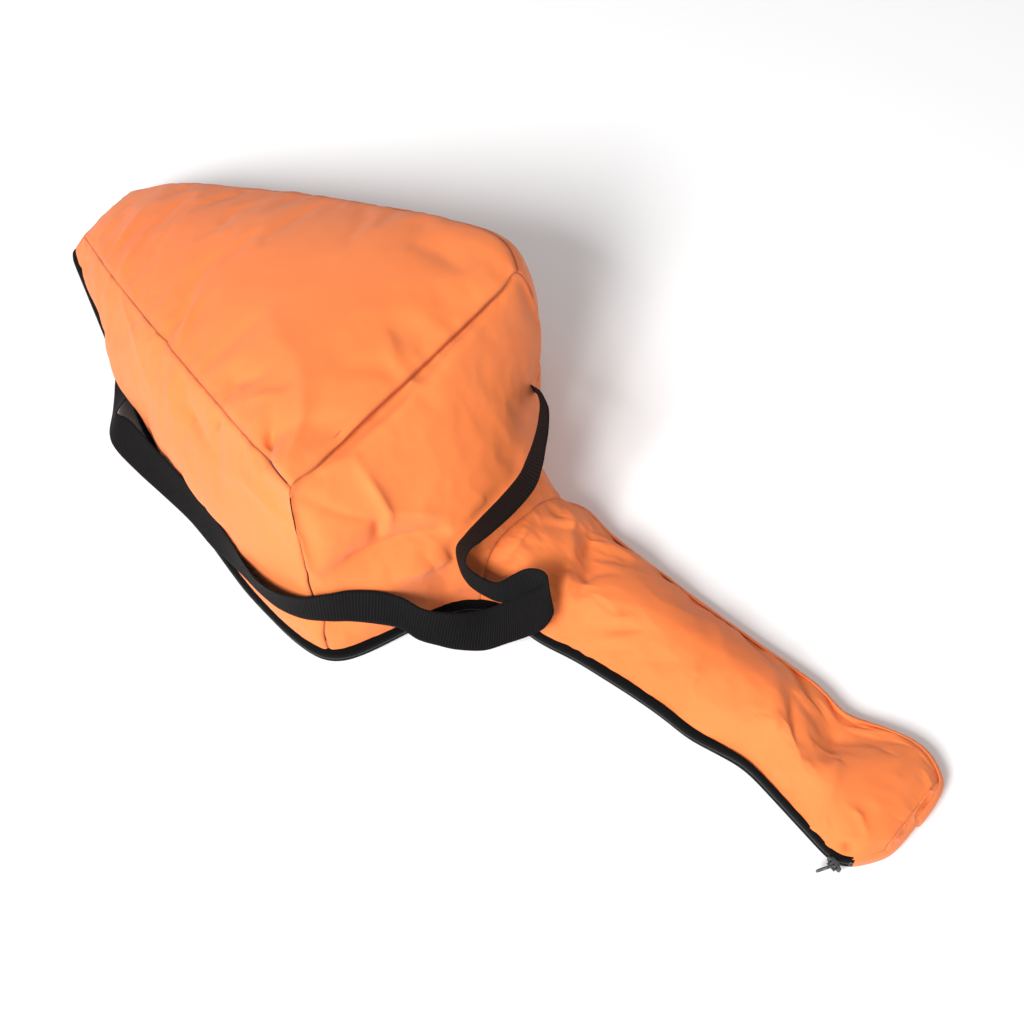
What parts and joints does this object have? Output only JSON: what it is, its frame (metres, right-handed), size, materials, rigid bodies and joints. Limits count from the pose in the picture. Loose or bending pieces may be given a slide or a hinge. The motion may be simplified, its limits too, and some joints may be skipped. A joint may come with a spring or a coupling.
{
  "type": "chainsaw carry bag",
  "caption": "Soft zip-up carry bag for a chainsaw: a wedge-shaped body for the engine, a long flat sleeve for the guide bar, a side zip and a webbing carry strap.",
  "frame": {"origin": "on the outer face of the flat back, under the widest part of the body", "axes": "+X towards the sleeve's tip, +Z out of the back through the crown's ridge, -Y towards the zipped side with the slider"},
  "size_m": [0.936, 0.3763, 0.2],
  "materials": {
    "orange_cloth": "plain-weave coated Oxford cloth, satin",
    "black_webbing": "ribbed polypropylene webbing, matt",
    "zip_tape": "woven zip tape, matt",
    "zip_coil": "nylon coil, satin",
    "zip_metal": "gunmetal, worn on the edges",
    "binding_tape": "folded binding tape, matt",
    "black_thread": "polyester thread"
  },
  "bodies": {
    "bag": {"crown_panel": "orange_cloth", "near_side_panel": "orange_cloth", "far_side_panel": "orange_cloth", "front_panel": "orange_cloth", "rear_panel": "orange_cloth", "back_panel": "orange_cloth", "sleeve_top_panel": "orange_cloth", "sleeve_back_panel": "orange_cloth", "sleeve_tip_panel": "orange_cloth", "zip_end_gusset": "orange_cloth", "zip_tape_lower": "zip_tape", "zip_tape_upper": "zip_tape", "zip_coil_lower": "zip_coil", "zip_coil_upper": "zip_coil", "zip_top_stops": "zip_metal", "zip_bottom_stop": "zip_metal", "carry_strap": "black_webbing", "strap_bar_tack_rear": "black_thread", "seam_binding_near": "binding_tape", "seam_binding_far": "binding_tape", "seam_binding_ridge": "binding_tape", "seam_binding_rear": "binding_tape", "seam_binding_mouth": "binding_tape", "seam_binding_front_near": "binding_tape", "seam_binding_front_far": "binding_tape"},
    "slider": {"zip_slider": "zip_metal"},
    "pull": {"zip_pull": "zip_metal"}
  },
  "joints": [
    {"name": "slider_slide", "type": "slide", "parent": "bag", "child": "slider", "axis": [-0.9806, 0.1961, 0], "range_m": [0, 0.085]},
    {"name": "pull_swing", "type": "hinge", "parent": "slider", "child": "pull", "pos_m": [0.41914, -0.06232, 0.01175], "axis": [0, 0, -1], "range_deg": [-104, 64]}
  ]
}
